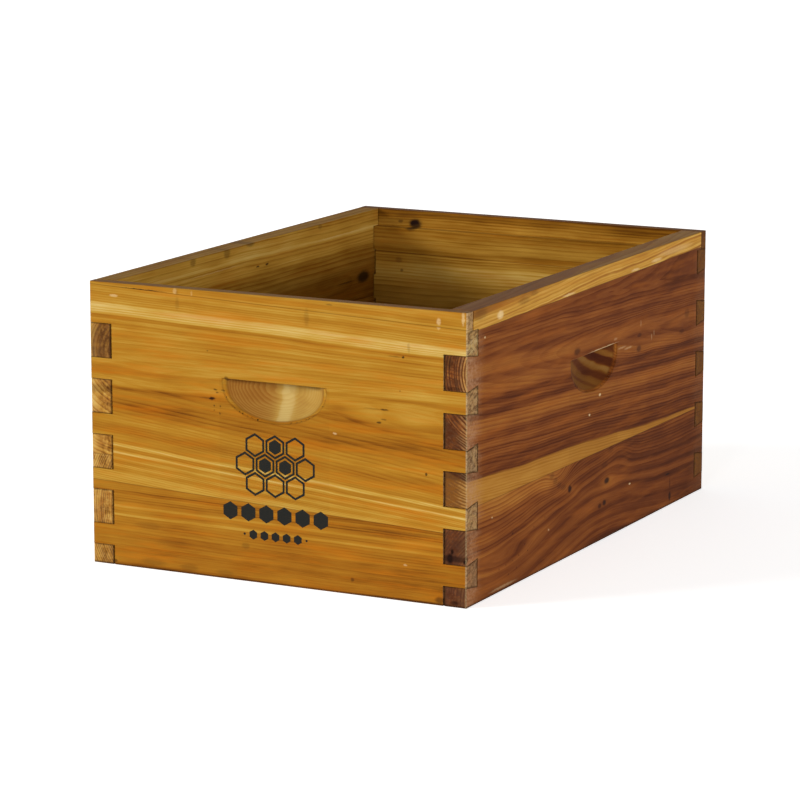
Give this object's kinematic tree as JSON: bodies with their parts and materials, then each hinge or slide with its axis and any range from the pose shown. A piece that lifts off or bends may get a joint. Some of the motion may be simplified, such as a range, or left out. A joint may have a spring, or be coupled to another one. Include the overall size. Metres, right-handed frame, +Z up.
{
  "type": "langstroth hive box",
  "caption": "Deep hive body for hanging frames: open top and bottom, dovetailed cedar walls glued up from planks, frame rests inside, scooped hand holds.",
  "frame": {"origin": "centre of the open bottom, on the surface the box stands on", "axes": "+Z up; Y along the side walls, with the front wall at -Y; X across, with the right wall at +X"},
  "size_m": [0.3556, 0.5048, 0.2445],
  "materials": {
    "front_strip_wood": "waxed",
    "front_upper_wood": "waxed",
    "front_lower_wood": "waxed",
    "back_top_wood": "waxed",
    "back_middle_wood": "waxed",
    "back_lower_wood": "waxed",
    "left_upper_wood": "waxed",
    "left_lower_wood": "waxed",
    "right_strip_wood": "waxed",
    "right_upper_wood": "waxed",
    "right_lower_wood": "waxed"
  },
  "bodies": {
    "root": {"front_top_strip": "front_strip_wood", "front_upper_plank": "front_upper_wood", "front_lower_plank": "front_lower_wood", "back_top_plank": "back_top_wood", "back_middle_plank": "back_middle_wood", "back_lower_plank": "back_lower_wood", "left_upper_plank": "left_upper_wood", "left_lower_plank": "left_lower_wood", "right_top_strip": "right_strip_wood", "right_upper_plank": "right_upper_wood", "right_lower_plank": "right_lower_wood"}
  },
  "joints": []
}
